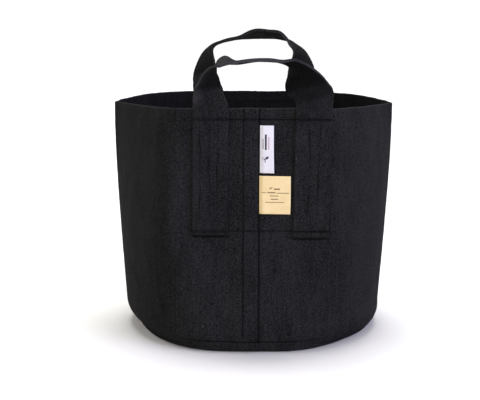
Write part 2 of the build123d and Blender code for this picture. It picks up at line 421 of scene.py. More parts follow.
def felt_material(name, shade, light_shade, fleck_shade, cut_edge_highlight):
    """Needle-punched felt: short fibres lying every way, punched clumps, soft streaks down the
    cloth where it was rolled, and a few pale fibres. The shade attribute adds painted highlight and painted
    shade."""
    n = Nodes(name)
    fibres = []
    for scale, turn in (
        ((2600, 2600, 260), (0, 0, 0)),
        ((260, 1700, 2600), (0, 25, 0)),
        ((2600, 1700, 260), (0, 52, 0)),
        ((2600, 1700, 260), (0, -40, 0)),
        ((1700, 260, 2600), (30, 0, 20)),
    ):
        fibres.append(n.noise(1.0, n.mapped(scale, turn), 1.0, 0.5, 0.4))
    strands = fibres[0]
    for f in fibres[1:]:
        strands = n.maths("MAXIMUM", strands, f)
    strands = n.remap(strands, 0.52, 0.78)
    clumps = n.noise(620.0, None, 3.0, 0.66)
    grain = n.noise(1250.0, None, 2.0, 0.7)
    patches = n.noise(1.0, n.mapped((34, 34, 12)), 3.0, 0.55)
    streaks = n.noise(1.0, n.mapped((320, 320, 16)), 2.0, 0.5)
    tone = n.maths("MULTIPLY", n.remap(clumps, 0.3, 0.7), 0.50)
    for part, low, high, weight in (
        (grain, 0.3, 0.7, 0.26),
        (patches, 0.32, 0.68, 0.11),
        (streaks, 0.35, 0.65, 0.08),
        (strands, 0.0, 1.0, 0.16),
    ):
        tone = n.maths("ADD", tone, n.maths("MULTIPLY", n.remap(part, low, high), weight))
    base = n.colour(n.remap(tone, 0.36, 0.74), shade, light_shade)
    flecks = n.remap(n.noise(1.0, n.mapped((520, 520, 210), (0, 33, 0)), 0.0), 0.865, 0.90)
    base = n.colour(n.maths("MULTIPLY", flecks, 0.6), base, fleck_shade)
    place = n.tree.nodes.new("ShaderNodeAttribute")
    place.attribute_name = "shade"
    # painted highlight: where shade is above 0 the colour goes toward the cut-edge highlight colour
    ends = n.maths("MULTIPLY", n.remap(place.outputs["Fac"], 0.0, 1.0), n.remap(grain, 0.25, 0.6, 0.45, 1.0))
    base = n.colour(ends, base, cut_edge_highlight)
    # painted shade: where shade is below 0 the colour goes toward a quarter of the dark tone
    base = n.colour(n.remap(place.outputs["Fac"], 0.0, -1.0), base, tuple(0.25 * v for v in shade))
    height = n.maths("ADD", clumps, n.maths("MULTIPLY", strands, 0.35))
    height = n.maths("ADD", height, n.maths("MULTIPLY", grain, 0.5))
    normal = n.raise_surface(height, 0.0014, 0.8)
    return n.finish(
        base,
        n.remap(clumps, 0.2, 0.8, 0.88, 0.98),
        normal,
        Sheen_Weight=0.007,
        Sheen_Roughness=0.5,
        Specular_IOR_Level=0.045,
    )


def thread_material():
    """Twisted polyester thread, nearly black, a little brighter than the felt where it turns."""
    n = Nodes("dark_thread")
    twist = n.noise(1.0, n.mapped((2400, 2400, 2400), (20, 30, 0)), 2.0)
    base = n.colour(n.remap(twist, 0.3, 0.7), (0.0016, 0.0016, 0.0019), (0.0042, 0.0042, 0.0050))
    return n.finish(base, 0.62, n.raise_surface(twist, 0.0003, 0.6), Specular_IOR_Level=0.12)


def woven_material():
    """White satin label tape: fine weft ridges across, faint warp lines, a little soil."""
    n = Nodes("white_satin_tape")
    weft = n.tree.nodes.new("ShaderNodeTexWave")
    weft.bands_direction = "Z"
    weft.inputs["Scale"].default_value = 520.0
    weft.inputs["Distortion"].default_value = 0.8
    weft.inputs["Detail"].default_value = 1.0
    n.link(n.place, weft.inputs["Vector"])
    warp = n.noise(1.0, n.mapped((3200, 3200, 420)), 1.0)
    soil = n.noise(60.0, None, 3.0)
    base = n.colour(n.remap(soil, 0.35, 0.75), (0.93, 0.93, 0.95), (0.86, 0.86, 0.88))
    base = n.colour(n.maths("MULTIPLY", weft.outputs["Fac"], 0.10), base, (0.72, 0.72, 0.76))
    height = n.maths("ADD", weft.outputs["Fac"], n.maths("MULTIPLY", warp, 0.8))
    return n.finish(base, 0.55, n.raise_surface(height, 0.00015, 0.8), Sheen_Weight=0.15)


def tag_material():
    """Coated tan tag cloth: a fine linen grain under a matt, slightly blotched coating."""
    n = Nodes("tan_tag_cloth")
    across = n.noise(1.0, n.mapped((420, 420, 3400)), 1.0)
    along = n.noise(1.0, n.mapped((3400, 3400, 420)), 1.0)
    linen = n.maths("ADD", across, along)
    blotch = n.noise(95.0, None, 3.0)
    base = n.colour(n.remap(blotch, 0.3, 0.75), (0.95, 0.775, 0.405), (0.89, 0.700, 0.335))
    base = n.colour(n.remap(linen, 0.85, 1.25, 0.0, 0.22), base, (0.80, 0.55, 0.27))
    return n.finish(base, 0.6, n.raise_surface(linen, 0.00018, 0.7))


def print_material(name, shade, worn):
    """Printed or woven-in marks: the ink sits unevenly on the cloth."""
    n = Nodes(name)
    wear = n.noise(1500.0, None, 2.0, 0.7)
    base = n.colour(n.remap(wear, 0.45, 0.75, 0.0, 0.55), shade, worn)
    return n.finish(base, 0.6, n.raise_surface(wear, 0.0001, 0.5))


PALE_FIBRE = (0.12, 0.115, 0.11)
# the last colour of each felt is the cut edges' painted highlight, partly their paler fibre ends; the strap's
# is stronger
felt = felt_material(
    "charcoal_felt", (0.0055, 0.0055, 0.0058), (0.0345, 0.0344, 0.0354), PALE_FIBRE, (0.045, 0.043, 0.047)
)
strap_felt = felt_material(
    "charcoal_strap_felt",
    (0.0056, 0.0056, 0.0059),
    (0.0340, 0.0339, 0.0349),
    PALE_FIBRE,
    (0.085, 0.082, 0.088),
)
thread = thread_material()
white_tape = woven_material()
tan_cloth = tag_material()
dark_print = print_material("dark_woven_print", (0.010, 0.009, 0.012), (0.12, 0.11, 0.13))
rose_print = print_material("rose_woven_print", (0.42, 0.20, 0.30), (0.62, 0.42, 0.50))
brown_print = print_material("brown_tag_print", (0.16, 0.085, 0.030), (0.42, 0.27, 0.12))

# ---- wall panel
NEAR_MIDDLE = np.arange(0, NEAR + 0.01, 1.5625).tolist()
FRONT_TURN = np.linspace(0, 1, 84).tolist()
BACK_TURN = np.linspace(0, 1, 100).tolist()
LAP_STEPS = np.arange(1.25, NEAR, 1.25).tolist()


def wall_columns():
    """The felt strip's own path: raw edge, left round the bag, and back under its own beginning."""
    lap = [LAP_EDGE_X, LAP_EDGE_X - 0.35, LAP_EDGE_X - 1.0, 3.0, 1.5, 0.0]
    path = [(1, "front", v) for v in lap]
    path += [(-1, "front", v) for v in LAP_STEPS]
    path += [(-1, "front_turn", v) for v in FRONT_TURN]
    path += [(-1, "back_turn", v) for v in BACK_TURN[::-1][1:]]
    path += [(-1, "back", v) for v in NEAR_MIDDLE[::-1][1:]]
    path += [(1, "back", v) for v in NEAR_MIDDLE[1:-1]]
    path += [(1, "back_turn", v) for v in BACK_TURN]
    path += [(1, "front_turn", v) for v in FRONT_TURN[::-1][1:]]
    path += [(1, "front", v) for v in NEAR_MIDDLE[::-1][1:]]
    path += [(-1, "front", v) for v in (2.5, 5.0, 8.0, 11.0, 14.0, 17.0, 19.4)]
    return path


COLUMNS = wall_columns()
COLUMN_COUNT = len(COLUMNS)
BEFORE_LEFT_CORNER = 6 + len(LAP_STEPS) + len(FRONT_TURN)
is_outer_lap = np.arange(COLUMN_COUNT) < BEFORE_LEFT_CORNER


def rim_height(x, y):
    """The front and back of the rim stand a little above the fold corners."""
    middle = np.clip(1 - (np.asarray(x) / 175.0) ** 2, 0, 1)
    points = np.stack([x, y, np.zeros_like(x)], -1)
    shoulder = 2.6 * bump(np.abs(x), 163.0, 36.0) * smooth(-13, 6, y)
    return RIM_Z - 1.0 + 2.3 * middle + shoulder + 0.22 * soft_dents(points * 1.4)


def lip_top(x, y):
    """Height of the base's turned-up edge: full at the front and back, tucked under at the sides."""
    front = lerp(5.0, 13.4, 1 - smooth(40, 108, np.abs(x + 4)))
    back = lerp(5.0, 12.5, 1 - smooth(50, 125, np.abs(x)))
    return np.where(y < 0, front, back)


LOW_LEVELS = [3.0, 4.5, 6.0, 8.0, 10.0, 12.0, 13.4, 14.3, 15.2, 16.6, 18.5]
ROW_LEVELS = [row + d for row in (TOP_ROW_Z, BOTTOM_ROW_Z) for d in (-1.1, 0.0, 1.1)]
LEVELS = np.sort(np.concatenate([LOW_LEVELS, np.linspace(20.5, 309.6, 118), ROW_LEVELS]))


def wall_point(z, columns, outer_lap):
    """Outer face points of the columns at height z, with dents, lap and seams."""
    px, py, nx, ny = around(z, columns)
    out = relief(px, py, z) - settled(px, py, z)
    x_lap = np.where(outer_lap, px, 99.0)
    front = (py < -60) & outer_lap
    lapped = np.where(front, 1 - smooth(19.0, 33.0, -x_lap), 0.0)
    out = out + LAP_RISE * lapped
    fade = smooth(14, 22, z)
    out = out - np.where(front, 1.0 * bump(px, LAP_STITCH_X, 1.5) * fade, 0.0)
    turn = np.arctan2(py, px)
    around_mm = turn * 175.0
    pucker = np.sin(around_mm / 3.1 + 2.0 * np.sin(around_mm / 41.0)) * np.exp(-np.abs(z - 13.0) / 11.0)
    out = out + 0.45 * pucker * (1 - 0.6 * lapped)
    side = np.clip(np.abs(px) / 170.0, 0, 1) ** 2
    out = out + np.where(px > 0, 1.6, 0.4) * side * bump(z, 24.0, 8.0)
    return px, py, nx, ny, out


def creases(px, py, z):
    """A few sharper folds: one slants down to the right near the floor, others are faint."""
    total = np.zeros_like(px)
    for x1, z1, x2, z2, front, depth, width in (
        (168.0, 66.0, 128.0, 50.0, True, 1.5, 3.4),
        (-150.0, 62.0, -168.0, 96.0, True, 0.8, 5.0),
        (-158.0, 210.0, -166.0, 150.0, True, 0.7, 6.0),
        (120.0, 74.0, 164.0, 40.0, False, 1.4, 4.0),
        (-60.0, 60.0, -120.0, 92.0, False, 1.0, 5.0),
    ):
        ux, uz = x2 - x1, z2 - z1
        length = math.hypot(ux, uz)
        ux, uz = ux / length, uz / length
        along = (px - x1) * ux + (z - z1) * uz
        off = (px - x1) * -uz + (z - z1) * ux
        here = (py < 5) if front else (py > 5)
        fade = smooth(-8, 10, along) * (1 - smooth(length - 10, length + 8, along))
        fold = bump(off, 0.0, width) - 0.8 * bump(off, -1.5 * width, width)
        total += np.where(here, depth * fade * fold, 0.0)
    return total


def build_wall():
    outer, inner, shades = [], [], []
    for level in LEVELS:
        px, py, nx, ny, out = wall_point(level, COLUMNS, is_outer_lap)
        out = out + creases(px, py, level)
        lift = (rim_height(px, py) - RIM_Z) * smooth(230, RIM_Z, level)
        z = np.full(COLUMN_COUNT, level) + lift
        lapped = np.where((py < -60) & is_outer_lap, 1.0, 0.0)
        shades.append(wall_shade(px, py, z, lapped))
        outer.append(np.stack([px + nx * out, py + ny * out, z], -1))
        inner.append(np.stack([px + nx * (out - FELT), py + ny * (out - FELT), z], -1))
    px, py, nx, ny, out = wall_point(RIM_Z, COLUMNS, is_outer_lap)
    top = rim_height(px, py)
    fray = 0.18 * small_dents(np.stack([px * 2.2, py * 2.2, top], -1))
    over = []
    for inset, drop in ((0.12, 0.75), (0.55, 0.18), (1.15, 0.0), (1.85, 0.0), (2.45, 0.18), (2.88, 0.75)):
        shift = out - inset
        over.append(np.stack([px + nx * shift, py + ny * shift, top - drop + fray], -1))
    rings = np.array(outer + over + inner[::-1]).transpose(1, 0, 2)
    # painted light: a painted highlight along the rim's cut top edge, and the whole inside face darkened by
    # half as painted shade
    edge = np.outer([0.2, 0.5, 0.6, 0.6, 0.5, 0.2], np.ones(COLUMN_COUNT))
    shade = np.concatenate([shades, edge, np.full((len(LEVELS), COLUMN_COUNT), -0.5)]).T
    return loft("felt_wall", rings, felt, shade)


wall = build_wall()
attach(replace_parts(wall, "wall_panel"), "bag")


# ---- base with its turned-up edge
def base_columns():
    """Once round the bag: the right half from front to back, then the same columns on the left."""
    half = [("front", v) for v in NEAR_MIDDLE] + [("front_turn", v) for v in FRONT_TURN[1:]]
    half += [("back_turn", v) for v in BACK_TURN[::-1][1:]] + [("back", v) for v in NEAR_MIDDLE[::-1][1:]]
    return [(1, *column) for column in half] + [(-1, *column) for column in half[-2:0:-1]]


BASE_COLUMNS = base_columns()
BASE_LEVELS = np.linspace(0.0, 14.0, 29)
BASE_TABLE = np.array([np.array(around(v, BASE_COLUMNS)) for v in BASE_LEVELS])
base_x, base_y = BASE_TABLE[6][0], BASE_TABLE[6][1]
LIP_TOP = lip_top(base_x, base_y)
LIP_STEP = np.where(
    base_y < -60, LAP_RISE * (1 - smooth(19.0, 33.0, -base_x)) * (1 - smooth(4.5, 5.5, base_x)), 0.0
)


def base_face(heights, gap):
    """Points of the base's columns at the given heights, gap outside the wall's rolled face."""
    points = np.zeros((len(BASE_COLUMNS), 3))
    for i, h in enumerate(np.broadcast_to(np.asarray(heights, float), base_x.shape)):
        x, y, nx, ny = (np.interp(h, BASE_LEVELS, BASE_TABLE[:, k, i]) for k in range(4))
        out = gap + LIP_STEP[i] * min(1.0, h / 4.0)
        out = out + float(relief(x, y, h)) * min(1.0, h / 8.0) - float(settled(x, y, h))
        points[i] = (x + nx * out, y + ny * out, h)
    return points


def build_base():
    count = len(BASE_COLUMNS)
    rings = []
    flat = base_face(3.0, -0.4)
    middle = np.array([0.0, -8.0, 0.0])
    top_dish = waves(51, 60, 140)
    for t in (0.03, 0.12, 0.25, 0.38, 0.5, 0.62, 0.74, 0.85, 0.94, 0.985):
        ring = middle + (flat - middle) * t
        ring[:, 2] = 3.0 + 0.25 * top_dish(ring) * (1 - t)
        rings.append(ring)
    reach = LIP_TOP - 3.0
    for share in (0.06, 0.35, 0.7, 0.93):
        rings.append(base_face(3.0 + reach * share, 0.15))
    for share, gap in ((0.985, 0.5), (1.0, 1.1), (1.0, 2.1), (0.985, 2.8)):
        rings.append(base_face(3.0 + reach * share, gap))
    for share in (0.9, 0.75, 0.6, 0.45, 0.3, 0.15, 0.0):
        rings.append(base_face(3.0 + reach * share, 3.1))
    for height in (2.2, 1.4, 0.7, 0.25, 0.0):
        rings.append(base_face(height, 3.05))
    low = base_face(0.0, 3.0)
    for t in (0.97, 0.85, 0.65, 0.45, 0.2, 0.03):
        ring = middle + (low - middle) * t
        ring[:, 2] = 0.0
        rings.append(ring)
    rings = np.array(rings)
    n = len(rings)
    points = np.concatenate([rings.reshape(-1, 3), [[0, -8, 3.0], [0, -8, 0.0]]])
    faces = []
    for i in range(n - 1):
        for j in range(count):
            k = (j + 1) % count
            faces.append((i * count + k, i * count + j, (i + 1) * count + j, (i + 1) * count + k))
    for j in range(count):
        k = (j + 1) % count
        faces.append((n * count, j, k))
        faces.append((n * count + 1, (n - 1) * count + k, (n - 1) * count + j))
    return make_object("felt_base", points, faces, felt, shade=np.zeros(len(points)))


base = build_base()
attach(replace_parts(base, "base_panel"), "bag")

# ---- handle straps
strap_dents = waves(71, 26, 60)
strap_grain = waves(83, 7, 16)


def on_wall(side, x, z, gap):
    """A point gap millimetres outside the flat stretch of the front or back wall."""
    y = front_y(z) if side < 0 else back_y(z)
    lean = FRONT_LEAN if side < 0 else BACK_LEAN
    shift = (gap + float(relief(x, y, min(z, RIM_Z)))) / math.sqrt(1 + lean * lean)
    return np.array([x, y + side * shift, z])


ON_WALL = STRAP / 2 + 0.1  # the strap's mid-surface off the wall
ACROSS = 33  # points across a strap's face
STRAP_SECTIONS = 300
# a strap's rounded cut edge, from the middle of its thickness out: share of half the thickness, reach
CUT_EDGE = ((0.07, -0.75), (0.20, 0.05), (0.62, 0.35), (0.93, 0.12))


def cut_edge(edge, face, way, fray, top, bottom):
    """The points round one cut edge of a strap, above and below the middle of its thickness."""
    mid, half = (top + bottom) / 2, (top - bottom) / 2
    return [
        [edge + face * (mid + turn * half * share) + way * (reach + fray) for share, reach in CUT_EDGE]
        for turn in (1, -1)
    ]


def strap_sections(side, left_leg, loop, right_leg, furrows):
    """Sections of one strap, foot to foot, and their painted light and shade. Legs are (outer x, inner x, z);
    the loop is pairs of outer edge and inner edge points. furrows are (share across, depth, -1 left or 1
    right)."""
    on_legs = [
        [(on_wall(side, o, z, ON_WALL), on_wall(side, i, z, ON_WALL)) for o, i, z in leg]
        for leg in (left_leg, right_leg)
    ]
    pairs = on_legs[0] + loop + on_legs[1]
    line = spline([np.concatenate(pair) for pair in pairs], STRAP_SECTIONS)
    o, i = line[:, :3], line[:, 3:]
    middle = (o + i) / 2
    along = np.gradient(middle, axis=0)
    along /= np.linalg.norm(along, axis=1)[:, None]
    length = np.concatenate([[0], np.cumsum(np.linalg.norm(np.diff(middle, axis=0), axis=1))])
    share = np.linspace(0, 1, ACROSS)
    total = length[-1]
    half = STRAP / 2
    last_face = None
    rings, shades = [], []
    for k in range(len(line)):
        z = middle[k, 2]
        row = o[k] + (i[k] - o[k]) * share[:, None]
        on_leg = z < RIM_Z - 2
        if on_leg:
            row = np.array([on_wall(side, p[0], p[2], ON_WALL) for p in row])
        cross = (i[k] - o[k]) / np.linalg.norm(i[k] - o[k])
        face = np.cross(cross, along[k])
        if face[1] * side < 0 and on_leg:
            face = -face
        if last_face is not None and np.dot(face, last_face) < 0:
            face = -face
        last_face = face  # one continuous facing side for the whole strap
        loop_part = float(smooth(RIM_Z, RIM_Z + 16, z))
        leg_here = 1 - loop_part
        end = min(length[k], total - length[k])
        wob = 0.55 * strap_dents(row) * loop_part
        rough = 0.10 * strap_grain(row)
        row_press = 0.0
        for level in (TOP_ROW_Z, BOTTOM_ROW_Z):
            row_press += math.exp(-(((z - level) / 1.3) ** 2)) * leg_here
        thin = 1 - 0.12 * loop_part
        front_face = half * thin + wob + rough - 1.0 * row_press
        # painted shade down in the stitch rows, and below in the furrows
        dark = 0.85 * row_press * np.ones(ACROSS)
        left_side = length[k] < total / 2
        for where, depth, which in furrows:
            if (which < 0) != left_side:
                continue
            sway = 0.016 * math.sin(z / 19.0 + where * 9) + 0.007 * math.sin(z / 7.3 + where * 23)
            deep = depth * leg_here * float(smooth(BOTTOM_ROW_Z + 6, BOTTOM_ROW_Z + 26, z))
            deep *= 1 - float(smooth(282, 296, z))
            deep *= 0.65 + 0.35 * math.sin(z / 13.0 + where * 31)
            front_face = front_face - deep * bump(share, where + sway, 0.024)
            dark = dark + 0.8 * (deep / depth) * bump(share, where + sway, 0.020)
        # painted shade above the bend: on the front strap's outer face and the back loop's wall-facing face,
        # which lean out and face down
        under = float(smooth(334, 342, z - (4.0 if middle[k, 0] > 0 else 0.0)))
        dark = np.clip(dark + (0.75 * under if side < 0 else 0.0), 0, 1)
        back_face_painted_shade = np.full(ACROSS, 0.7 * under if side > 0 else 0.0)
        back_face = -half * thin + wob + rough * 0.3
        crown = 0.5 * (1 - (2 * share - 1) ** 2) * loop_part
        front_face = front_face + crown * 0.5
        back_face = back_face + crown * 0.5
        if end < 1.5:
            shrink = 0.55 + 0.45 * end / 1.5
            mid_face = (front_face + back_face) / 2
            front_face = mid_face + (front_face - mid_face) * shrink
            back_face = mid_face + (back_face - mid_face) * shrink
        a = row + face * front_face[:, None]
        b = row + face * back_face[:, None]
        fray_o, fray_i = (0.16 * float(strap_grain(edge * 1.7)) for edge in (row[0], row[-1]))
        o_up, o_low = cut_edge(row[0], face, -cross, fray_o, front_face[0], back_face[0])
        i_up, i_low = cut_edge(row[-1], face, cross, fray_i, front_face[-1], back_face[-1])
        for flat in (a, b):
            flat[0] += cross * 0.45
            flat[-1] -= cross * 0.45
        ring = o_up + list(a) + i_up[::-1] + i_low + list(b[::-1]) + o_low[::-1]
        rings.append(ring)
        # painted highlight on the front loop's left peak and along its outer edge, which also lessens the
        # painted shade there
        fold = float(bump(middle[k, 0], -40.0, 9.0)) * loop_part if side < 0 else 0.0
        turned = bump(middle[k, 0], -56.0, 11.0) * loop_part * bump(share, 0.0, 0.20) if side < 0 else 0.0
        dark = dark * (1 - fold) - 0.30 * fold - 0.7 * turned
        back_face_painted_shade = back_face_painted_shade - 0.30 * fold
        # how strong each cut edge's painted highlight is: full on the front loop, on the back loop mostly
        # where its edges are lit, and weaker on the legs
        if side < 0:
            strong_o = lerp(1.0, 0.4, float(smooth(22, 50, middle[k, 0])))
            strong_i = 1.0
        else:
            strong_o = 0.15 + 0.45 * float(bump(middle[k, 0], -75.0, 14.0))
            strong_i = 0.10 + 0.80 * float(bump(middle[k, 0], 58.0, 12.0))
        edge_o, edge_i = (
            [lerp(0.25, strong, loop_part)] * 3 + [lerp(0.1, strong / 2, loop_part)]
            for strong in (strong_o, strong_i)
        )
        shades.append(edge_o + list(-dark) + edge_i[::-1] + edge_i + list(-back_face_painted_shade) + edge_o[::-1])
    return np.array(rings), np.array(shades)


def leg_rows(foot, outer_foot, outer_rim, inner_foot, inner_rim, upwards=True):
    """The (outer x, inner x, z) rows of one leg, from its foot to the rim or back down."""
    rows = []
    for z in (foot, foot + 30, foot + 62, foot + 96, 280.0, 298.0, RIM_Z):
        t = (z - foot) / (RIM_Z - foot)
        rows.append((lerp(outer_foot, outer_rim, t), lerp(inner_foot, inner_rim, t), z))
    return rows if upwards else rows[::-1]


# Where each free loop runs, left to right: pairs of outer edge and inner edge points.
FRONT_LOOP = [
    ((-77.5, -152, 329), (-39.8, -140, 328.3)),
    ((-74.4, -164, 338.7), (-43.8, -133, 339.4)),
    ((-67.9, -178, 352.1), (-46.9, -138, 352.2)),
    ((-60.5, -192, 362.0), (-49.5, -149, 360.0)),
    ((-53.0, -202, 367.0), (-48.6, -160, 368.4)),
    ((-45.0, -212, 368.7), (-45.8, -169, 372.9)),
    ((-40.7, -212, 370.3), (-41.4, -169, 376.3)),
    ((-37.1, -212, 371.3), (-37.6, -169, 377.7)),
    ((-33.4, -212, 372.0), (-33.9, -169, 376.5)),
    ((-29.8, -212, 372.6), (-30.1, -169, 373.9)),
    ((-25.5, -212, 373.1), (-25.7, -169, 371.5)),
    ((-14.0, -212, 374.2), (-13.8, -169, 371.9)),
    ((-1.7, -212, 375.4), (-1.3, -169, 373.5)),
    ((12.9, -212, 376.5), (13.7, -169, 374.5)),
    ((26.0, -212, 375.4), (27.2, -169, 373.1)),
    ((36.0, -211, 375.2), (37.3, -168, 370.0)),
    ((45.5, -208.5, 376.2), (44.0, -165, 364.9)),
    ((62.2, -202, 370.7), (42, -165, 354.4)),
    ((83.6, -188, 355.2), (38.7, -172, 338.5)),
    ((95.8, -167, 340.9), (48.6, -157, 325.5)),
    ((100.1, -151, 332.2), (54.1, -149.5, 317.9)),
]
BACK_LOOP = [
    ((-90.2, 187, 330.9), (-55.4, 171, 335)),
    ((-85.2, 198, 351), (-57.2, 161, 353)),
    ((-79.4, 202.5, 362.6), (-58.6, 160, 362.7)),
    ((-74.2, 203.5, 370.2), (-60.2, 160, 370.0)),
    ((-67.5, 204, 376.1), (-59.9, 160, 377.7)),
    ((-61.0, 204, 380.3), (-57.0, 159, 382.0)),
    ((-53.0, 204, 383.9), (-52.2, 159, 385.4)),
    ((-43.8, 204, 387.0), (-43.2, 159, 389.0)),
    ((-31.5, 204, 389.2), (-31.2, 159, 392.1)),
    ((-19.2, 204, 390.9), (-19.2, 159, 395.1)),
    ((-6.9, 204, 391.7), (-7.2, 159, 400.6)),
    ((2.6, 204, 392.2), (2.0, 159, 404.2)),
    ((11.6, 204, 392.4), (10.9, 159, 404.8)),
    ((23.9, 204, 392.3), (22.9, 159, 403.3)),
    ((34.4, 204, 392.4), (33.4, 159, 403.4)),
    ((42.4, 204, 391.2), (41.6, 159, 401.4)),
    ((48.6, 204, 389.6), (48.0, 159, 395.6)),
    ((56.4, 204, 387.4), (52.0, 160, 390.6)),
    ((65.7, 203.5, 382.0), (55.4, 160, 384.0)),
    ((75.6, 203.5, 376.0), (60.9, 160, 377.5)),
    ((82.5, 202.5, 369.5), (62.6, 160, 370.9)),
    ((87.2, 200.5, 361.6), (60.8, 162, 362.0)),
    ((91.6, 195, 352.5), (56.7, 165, 350)),
    ((95.4, 190, 341.5), (54, 170, 335.6)),
    ((98.1, 185, 325.8), (52.2, 178, 323)),
]

front_rings, front_shade = strap_sections(
    -1,
    leg_rows(151.0, -78.2, -78.8, -34.2, -33.4),
    FRONT_LOOP,
    leg_rows(148.0, 95.0, 99.0, 50.4, 53.6, upwards=False),
    ((0.20, 0.9, -1), (0.47, 0.8, -1), (0.70, 0.9, -1), (0.60, 0.9, 1), (0.33, 0.7, 1)),
)
front_strap = loft("front_strap", front_rings, strap_felt, front_shade)
back_rings, back_shade = strap_sections(
    1,
    leg_rows(150.0, -90.0, -90.0, -44.0, -44.0),
    BACK_LOOP,
    leg_rows(150.0, 98.0, 98.0, 52.0, 52.0, upwards=False),
    ((0.28, 0.7, -1), (0.62, 0.8, -1), (0.40, 0.8, 1), (0.74, 0.6, 1)),
)
back_strap = loft("back_strap", back_rings, strap_felt, back_shade)
for strap, name in ((front_strap, "front"), (back_strap, "back")):
    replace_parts(strap, f"{name}_left_leg", f"{name}_loop", f"{name}_right_leg")


# ---- stitches
def stitch_mesh(name, stitches, radius=0.48, rise=0.30):
    """Each stitch is a short thread that dips into the felt at both ends: (centre, along, out, length)."""
    sides, points, faces = 8, [], []
    for centre, along, out, length in stitches:
        centre, along, out = (np.asarray(v, float) for v in (centre, along, out))
        along = along / np.linalg.norm(along)
        out = out - along * np.dot(out, along)
        out /= np.linalg.norm(out)
        third = np.cross(along, out)
        start = len(points)
        half = ((0.54, -0.9, 0.55), (0.47, -0.28, 0.9), (0.30, 0.12, 1.0))
        shape = [(-where, up, size) for where, up, size in half] + [(0.0, rise, 1.0)] + list(half[::-1])
        for where, up, size in shape:
            at = centre + along * (where * length) + out * up
            for s in range(sides):
                a = 2 * math.pi * s / sides
                round_it = out * (radius * size * math.sin(a)) + third * (radius * size * math.cos(a))
                points.append(at + round_it)
        for r in range(len(shape) - 1):
            for s in range(sides):
                k = (s + 1) % sides
                b = start + r * sides
                faces.append((b + s, b + k, b + sides + k, b + sides + s))
        last = start + (len(shape) - 1) * sides
        faces.append(tuple(start + s for s in reversed(range(sides))))
        faces.append(tuple(last + s for s in range(sides)))
    obj = make_object(name, points, faces, thread)
    return obj


def places(first, last, pitch=STITCH_PITCH):
    count = max(2, round(abs(last - first) / pitch) + 1)
    return [lerp(first, last, i / (count - 1)) for i in range(count)]


def row_stitches(name, side, z, legs, x_from, x_to):
    rng = np.random.default_rng(int(z * 10) + (5 if side > 0 else 0))
    stitches = []
    for x in places(x_from, x_to):
        x += rng.uniform(-0.2, 0.2)
        level = z + rng.uniform(-0.25, 0.25) + (0.5 * math.sin(x / 23.0))
        if min(abs(x - edge) for leg in legs for edge in leg) < 2.4:
            continue
        on_strap = any(left - 0.5 < x < right + 0.5 for left, right in legs)
        gap = STRAP + 0.1 if on_strap else 0.0
        if gap == 0.0 and side < 0 and -33 < x < LAP_EDGE_X + 0.5:
            gap = LAP_RISE * (1 - float(smooth(19.0, 33.0, -x)))
        centre = on_wall(side, x, level, gap - (0.55 if gap > 4 else 0.0) - 0.12)
        stitches.append((centre, (1, 0, rng.uniform(-0.05, 0.05)), (0, side, 0.1), STITCH_LENGTH + 0.5))
    obj = stitch_mesh(name, stitches)
    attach(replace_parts(obj, name[:-6] + "stitches"), "bag")
    return obj


BACK_LEGS = [(-90.0, -44.0), (52.0, 98.0)]
row_stitches("front_handle_top_thread", -1, TOP_ROW_Z, [(-79.0, -33.0), (53.0, 99.3)], -76.0, 96.5)
row_stitches("front_handle_bottom_thread", -1, BOTTOM_ROW_Z, [(-79.0, -33.2), (49.7, 96.0)], -76.0, 93.0)
row_stitches("back_handle_top_thread", 1, TOP_ROW_Z, BACK_LEGS, -87.0, 95.0)
row_stitches("back_handle_bottom_thread", 1, BOTTOM_ROW_Z, BACK_LEGS, -87.0, 95.0)


def lap_stitches():
    rng = np.random.default_rng(5)
    stitches = []
    for z in places(LIP_Z + 9.0, TOP_ROW_Z + 8.0):
        x = LAP_STITCH_X + 0.35 * math.sin(z / 31.0) + rng.uniform(-0.15, 0.15)
        centre = on_wall(-1, x, z, LAP_RISE - 1.0)
        stitches.append((centre, (0, FRONT_LEAN, 1), (0, -1, 0.1), STITCH_LENGTH + 0.3))
    obj = stitch_mesh("lap_seam_thread", stitches)
    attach(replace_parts(obj, "lap_seam_stitches"), "bag")
    dashes = []
    for z in (LIP_Z + 5.0, LIP_Z + 8.5):
        for x in places(LAP_STITCH_X + 6.0, LAP_EDGE_X - 4.0, 4.6):
            centre = on_wall(-1, x, z, LAP_RISE)
            dashes.append((centre, (1, 0, 0.05), (0, -1, 0.2), 4.0))
    bar = stitch_mesh("lap_bartack_thread", dashes, rise=0.4)
    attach(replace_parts(bar, "lap_bartack"), "bag")


lap_stitches()


def base_stitches():
    line = base_face(3.0 + (LIP_TOP - 3.0) * 0.5, 3.0)
    closed = np.concatenate([line, line[:1]])
    s = np.concatenate([[0], np.cumsum(np.linalg.norm(np.diff(closed, axis=0), axis=1))])
    count = int(s[-1] / STITCH_PITCH)
    stitches = []
    for i in range(count):
        here = s[-1] * i / count
        ends = (here, min(here + 2, s[-1]))
        p, q = (np.array([np.interp(w, s, closed[:, k]) for k in range(3)]) for w in ends)
        along = q - p
        out = np.cross(along, (0, 0, 1))
        if np.dot(out, p - np.array([0, -8, p[2]])) < 0:
            out = -out
        stitches.append((p, along, out, STITCH_LENGTH))
    obj = stitch_mesh("base_seam_thread", stitches, radius=0.4, rise=0.15)
    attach(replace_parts(obj, "base_seam_stitches"), "bag")


base_stitches()


